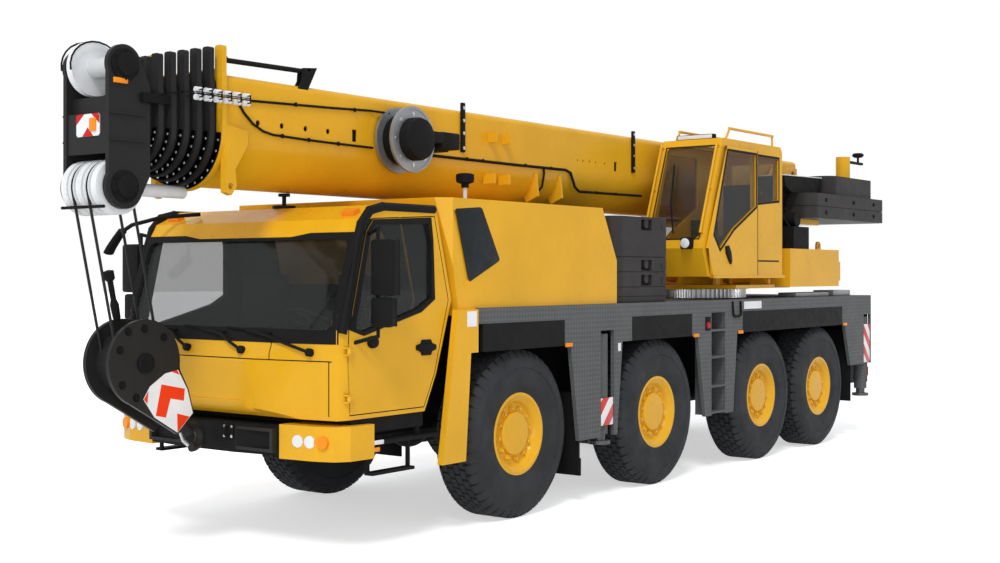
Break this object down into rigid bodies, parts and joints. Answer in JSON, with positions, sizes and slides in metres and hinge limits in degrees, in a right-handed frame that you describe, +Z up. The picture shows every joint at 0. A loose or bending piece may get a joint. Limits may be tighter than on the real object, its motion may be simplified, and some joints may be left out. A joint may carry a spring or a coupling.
{
  "type": "mobile crane",
  "caption": "All terrain mobile crane: steered wheels, driver's cab, outriggers, slewing crane cab and counterweight, and a telescopic boom raised by a lift cylinder, with a hook block.",
  "frame": {"origin": "on the ground, below the middle of the overall box", "axes": "+X to the front of the vehicle, +Y to its left, +Z up"},
  "size_m": [12.425, 3.22, 3.9349],
  "materials": {
    "yellow_paint": "gloss paint",
    "charcoal_paint": "satin paint",
    "deck_grey": "matt textured paint",
    "black_trim": "matt",
    "machine_grey": "satin paint",
    "bare_steel": "machined",
    "white_plastic": "smooth",
    "lamp_lens": "clear gloss",
    "tinted_glass": "polished",
    "seat_fabric": "woven",
    "tyre": "matt rubber"
  },
  "bodies": {
    "carrier": {"chassis_frame": "deck_grey", "axles": "machine_grey", "deck_fenders": "deck_grey", "dark_panels": "black_trim", "engine_block": "machine_grey", "engine_hood": "yellow_paint", "deck_counterweight": "charcoal_paint", "slewing_ring": "bare_steel", "cab_shell": "yellow_paint", "cab_glass": "tinted_glass", "cab_interior": "seat_fabric", "front_bumper": "yellow_paint", "lamps": "lamp_lens"},
    "knuckle_1_left": {"knuckle_1_left": "machine_grey"},
    "knuckle_1_right": {"knuckle_1_right": "machine_grey"},
    "knuckle_2_left": {"knuckle_2_left": "machine_grey"},
    "knuckle_2_right": {"knuckle_2_right": "machine_grey"},
    "knuckle_3_left": {"knuckle_3_left": "machine_grey"},
    "knuckle_3_right": {"knuckle_3_right": "machine_grey"},
    "knuckle_4_left": {"knuckle_4_left": "machine_grey"},
    "knuckle_4_right": {"knuckle_4_right": "machine_grey"},
    "wheel_1_left": {"wheel_1_left": "tyre"},
    "wheel_1_right": {"wheel_1_right": "tyre"},
    "wheel_2_left": {"wheel_2_left": "tyre"},
    "wheel_2_right": {"wheel_2_right": "tyre"},
    "wheel_3_left": {"wheel_3_left": "tyre"},
    "wheel_3_right": {"wheel_3_right": "tyre"},
    "wheel_4_left": {"wheel_4_left": "tyre"},
    "wheel_4_right": {"wheel_4_right": "tyre"},
    "door_left": {"cab_door_left": "yellow_paint", "door_glass_left": "tinted_glass"},
    "door_right": {"cab_door_right": "yellow_paint", "door_glass_right": "tinted_glass"},
    "beam_1_left": {"outrigger_beam_1_left": "deck_grey"},
    "jack_1_left": {"jack_1_left": "bare_steel"},
    "beam_1_right": {"outrigger_beam_1_right": "deck_grey"},
    "jack_1_right": {"jack_1_right": "bare_steel"},
    "beam_2_left": {"outrigger_beam_2_left": "deck_grey"},
    "jack_2_left": {"jack_2_left": "bare_steel"},
    "beam_2_right": {"outrigger_beam_2_right": "deck_grey"},
    "jack_2_right": {"jack_2_right": "bare_steel"},
    "turntable": {"turntable_frame": "yellow_paint", "tail_counterweight": "charcoal_paint", "winch": "machine_grey"},
    "crane_cab": {"crane_cab_shell": "yellow_paint", "crane_cab_glass": "tinted_glass", "crane_cab_seat": "seat_fabric"},
    "crane_door": {"crane_cab_door": "yellow_paint"},
    "boom": {"boom_base": "yellow_paint", "cable_reel": "machine_grey"},
    "boom_2": {"boom_section_2": "charcoal_paint"},
    "boom_3": {"boom_section_3": "charcoal_paint"},
    "boom_4": {"boom_section_4": "charcoal_paint"},
    "boom_5": {"boom_section_5": "charcoal_paint"},
    "boom_6": {"boom_section_6": "charcoal_paint"},
    "boom_7": {"boom_section_7": "charcoal_paint", "head_sheaves": "white_plastic"},
    "lift_barrel": {"lift_barrel": "yellow_paint"},
    "lift_rod": {"lift_rod": "bare_steel"},
    "hook": {"hook_block": "machine_grey"}
  },
  "joints": [
    {"name": "steer_1_left", "type": "hinge", "parent": "carrier", "child": "knuckle_1_left", "pos_m": [2.54, 0.87, 0.7475], "axis": [0, 0, 1], "range_deg": [-32, 32]},
    {"name": "steer_1_right", "type": "hinge", "parent": "carrier", "child": "knuckle_1_right", "pos_m": [2.54, -0.87, 0.7475], "axis": [0, 0, 1], "range_deg": [-32, 32]},
    {"name": "steer_2_left", "type": "hinge", "parent": "carrier", "child": "knuckle_2_left", "pos_m": [0.13, 0.87, 0.7475], "axis": [0, 0, 1], "range_deg": [-23, 23]},
    {"name": "steer_2_right", "type": "hinge", "parent": "carrier", "child": "knuckle_2_right", "pos_m": [0.13, -0.87, 0.7475], "axis": [0, 0, 1], "range_deg": [-23, 23]},
    {"name": "steer_3_left", "type": "hinge", "parent": "carrier", "child": "knuckle_3_left", "pos_m": [-2.28, 0.87, 0.7475], "axis": [0, 0, -1], "range_deg": [-15, 15]},
    {"name": "steer_3_right", "type": "hinge", "parent": "carrier", "child": "knuckle_3_right", "pos_m": [-2.28, -0.87, 0.7475], "axis": [0, 0, -1], "range_deg": [-15, 15]},
    {"name": "steer_4_left", "type": "hinge", "parent": "carrier", "child": "knuckle_4_left", "pos_m": [-3.905, 0.87, 0.7475], "axis": [0, 0, -1], "range_deg": [-26, 26]},
    {"name": "steer_4_right", "type": "hinge", "parent": "carrier", "child": "knuckle_4_right", "pos_m": [-3.905, -0.87, 0.7475], "axis": [0, 0, -1], "range_deg": [-26, 26]},
    {"name": "spin_1_left", "type": "hinge", "parent": "knuckle_1_left", "child": "wheel_1_left", "pos_m": [2.54, 1.12, 0.7475], "axis": [0, 1, 0], "continuous": true},
    {"name": "spin_1_right", "type": "hinge", "parent": "knuckle_1_right", "child": "wheel_1_right", "pos_m": [2.54, -1.12, 0.7475], "axis": [0, 1, 0], "continuous": true},
    {"name": "spin_2_left", "type": "hinge", "parent": "knuckle_2_left", "child": "wheel_2_left", "pos_m": [0.13, 1.12, 0.7475], "axis": [0, 1, 0], "continuous": true},
    {"name": "spin_2_right", "type": "hinge", "parent": "knuckle_2_right", "child": "wheel_2_right", "pos_m": [0.13, -1.12, 0.7475], "axis": [0, 1, 0], "continuous": true},
    {"name": "spin_3_left", "type": "hinge", "parent": "knuckle_3_left", "child": "wheel_3_left", "pos_m": [-2.28, 1.12, 0.7475], "axis": [0, 1, 0], "continuous": true},
    {"name": "spin_3_right", "type": "hinge", "parent": "knuckle_3_right", "child": "wheel_3_right", "pos_m": [-2.28, -1.12, 0.7475], "axis": [0, 1, 0], "continuous": true},
    {"name": "spin_4_left", "type": "hinge", "parent": "knuckle_4_left", "child": "wheel_4_left", "pos_m": [-3.905, 1.12, 0.7475], "axis": [0, 1, 0], "continuous": true},
    {"name": "spin_4_right", "type": "hinge", "parent": "knuckle_4_right", "child": "wheel_4_right", "pos_m": [-3.905, -1.12, 0.7475], "axis": [0, 1, 0], "continuous": true},
    {"name": "cab_door_left_swing", "type": "hinge", "parent": "carrier", "child": "door_left", "pos_m": [4.714, 1.29, 1.4], "axis": [0, 0, -1], "range_deg": [0, 70]},
    {"name": "cab_door_right_swing", "type": "hinge", "parent": "carrier", "child": "door_right", "pos_m": [4.714, -1.29, 1.4], "axis": [0, 0, 1], "range_deg": [0, 70]},
    {"name": "beam_1_left_extend", "type": "slide", "parent": "carrier", "child": "beam_1_left", "axis": [0, 1, 0], "range_m": [0, 1.9]},
    {"name": "jack_1_left_lower", "type": "slide", "parent": "beam_1_left", "child": "jack_1_left", "axis": [0, 0, -1], "range_m": [0, 0.51]},
    {"name": "beam_1_right_extend", "type": "slide", "parent": "carrier", "child": "beam_1_right", "axis": [0, -1, 0], "range_m": [0, 1.9]},
    {"name": "jack_1_right_lower", "type": "slide", "parent": "beam_1_right", "child": "jack_1_right", "axis": [0, 0, -1], "range_m": [0, 0.51]},
    {"name": "beam_2_left_extend", "type": "slide", "parent": "carrier", "child": "beam_2_left", "axis": [0, 1, 0], "range_m": [0, 1.9]},
    {"name": "jack_2_left_lower", "type": "slide", "parent": "beam_2_left", "child": "jack_2_left", "axis": [0, 0, -1], "range_m": [0, 0.51]},
    {"name": "beam_2_right_extend", "type": "slide", "parent": "carrier", "child": "beam_2_right", "axis": [0, -1, 0], "range_m": [0, 1.9]},
    {"name": "jack_2_right_lower", "type": "slide", "parent": "beam_2_right", "child": "jack_2_right", "axis": [0, 0, -1], "range_m": [0, 0.51]},
    {"name": "slew", "type": "hinge", "parent": "carrier", "child": "turntable", "pos_m": [-2.66, 0, 1.985], "axis": [0, 0, 1], "continuous": true},
    {"name": "crane_cab_tilt", "type": "hinge", "parent": "turntable", "child": "crane_cab", "pos_m": [-2.71, 0.94, 2.09], "axis": [0, -1, 0], "range_deg": [0, 20]},
    {"name": "crane_door_slide", "type": "slide", "parent": "crane_cab", "child": "crane_door", "axis": [-1, 0, 0], "range_m": [0, 0.62]},
    {"name": "luff", "type": "hinge", "parent": "turntable", "child": "boom", "pos_m": [-4.46, 0, 3.32], "axis": [0, -1, 0], "range_deg": [0, 82]},
    {"name": "telescope_2", "type": "slide", "parent": "boom", "child": "boom_2", "axis": [1, 0, 0], "range_m": [0, 8.2]},
    {"name": "telescope_3", "type": "slide", "parent": "boom_2", "child": "boom_3", "axis": [1, 0, 0], "range_m": [0, 8.2]},
    {"name": "telescope_4", "type": "slide", "parent": "boom_3", "child": "boom_4", "axis": [1, 0, 0], "range_m": [0, 8.2]},
    {"name": "telescope_5", "type": "slide", "parent": "boom_4", "child": "boom_5", "axis": [1, 0, 0], "range_m": [0, 8.2]},
    {"name": "telescope_6", "type": "slide", "parent": "boom_5", "child": "boom_6", "axis": [1, 0, 0], "range_m": [0, 8.2]},
    {"name": "telescope_7", "type": "slide", "parent": "boom_6", "child": "boom_7", "axis": [1, 0, 0], "range_m": [0, 8.2]},
    {"name": "hook_swing", "type": "hinge", "parent": "boom_7", "child": "hook", "pos_m": [6.01, 0, 2.81], "axis": [0, 1, 0], "range_deg": [0, 56]},
    {"name": "lift_barrel_swing", "type": "hinge", "parent": "turntable", "child": "lift_barrel", "pos_m": [-2.56, 0, 2.19], "axis": [0, -1, 0], "range_deg": [0, 88]},
    {"name": "lift_rod_extend", "type": "slide", "parent": "lift_barrel", "child": "lift_rod", "axis": [0.9872, 0, 0.1597], "range_m": [0, 2.93]}
  ],
  "couplings": [
    {"joint": "steer_1_right", "follows": "steer_1_left", "ratio": 1},
    {"joint": "steer_2_left", "follows": "steer_1_left", "ratio": 0.7},
    {"joint": "steer_2_right", "follows": "steer_1_left", "ratio": 0.7},
    {"joint": "steer_3_left", "follows": "steer_4_left", "ratio": 0.55},
    {"joint": "steer_3_right", "follows": "steer_4_left", "ratio": 0.55},
    {"joint": "steer_4_right", "follows": "steer_4_left", "ratio": 1},
    {"joint": "telescope_3", "follows": "telescope_2", "ratio": 1},
    {"joint": "telescope_4", "follows": "telescope_2", "ratio": 1},
    {"joint": "telescope_5", "follows": "telescope_2", "ratio": 1},
    {"joint": "telescope_6", "follows": "telescope_2", "ratio": 1},
    {"joint": "telescope_7", "follows": "telescope_2", "ratio": 1},
    {"joint": "hook_swing", "follows": "luff", "ratio": 0.671},
    {"joint": "lift_barrel_swing", "follows": "luff", "ratio": 1.0506},
    {"joint": "lift_rod_extend", "follows": "luff", "m_per_rad": 2.013}
  ]
}
